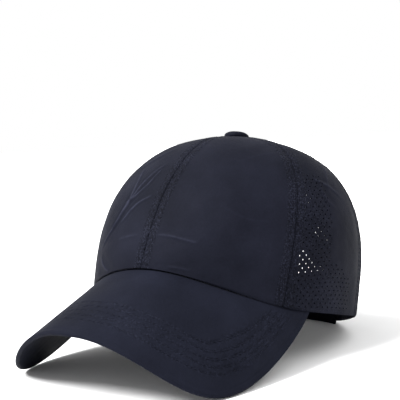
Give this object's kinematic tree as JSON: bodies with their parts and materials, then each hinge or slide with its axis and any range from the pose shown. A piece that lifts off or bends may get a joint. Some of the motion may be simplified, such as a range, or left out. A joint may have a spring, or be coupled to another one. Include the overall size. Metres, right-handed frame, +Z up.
{
  "type": "ponytail baseball cap",
  "caption": "soft cap with a rounded panelled crown, a curved visor, perforated side cloth and a tall rear opening crossed by flat elastic straps above an adjusting strap",
  "frame": {"origin": "bottom centre of the bounding box, on the surface that the cap rests on", "axes": "+Z up, -Y the way the visor points, +X the wearer's left. The cap is at rest, with its nose tipped up until the visor's two ends and the back strap's lower edge stand on the surface."},
  "size_m": [0.1742, 0.2524, 0.14],
  "materials": {
    "crown_cloth": "woven nylon, very dark navy, slight sheen",
    "perforated_cloth": "woven nylon with fine punched holes, very dark navy",
    "visor_cloth": "woven nylon over a stiff insert, very dark navy, stitched",
    "binding_cloth": "smooth folded band, dark navy",
    "elastic": "flat ribbed elastic, near black navy, matt",
    "webbing": "flat webbing, near black navy, matt",
    "loop_plastic": "moulded plastic, black, satin"
  },
  "bodies": {
    "root": {"front_panel_left": "crown_cloth", "side_panel_left": "perforated_cloth", "rear_panel_left": "perforated_cloth", "opening_binding_left": "binding_cloth", "cross_strap_left": "elastic", "front_panel_right": "crown_cloth", "side_panel_right": "perforated_cloth", "rear_panel_right": "perforated_cloth", "opening_binding_right": "binding_cloth", "cross_strap_right": "elastic", "visor": "visor_cloth", "top_button": "crown_cloth", "back_strap": "webbing", "loop_tab": "webbing", "strap_loop": "loop_plastic"}
  },
  "joints": []
}
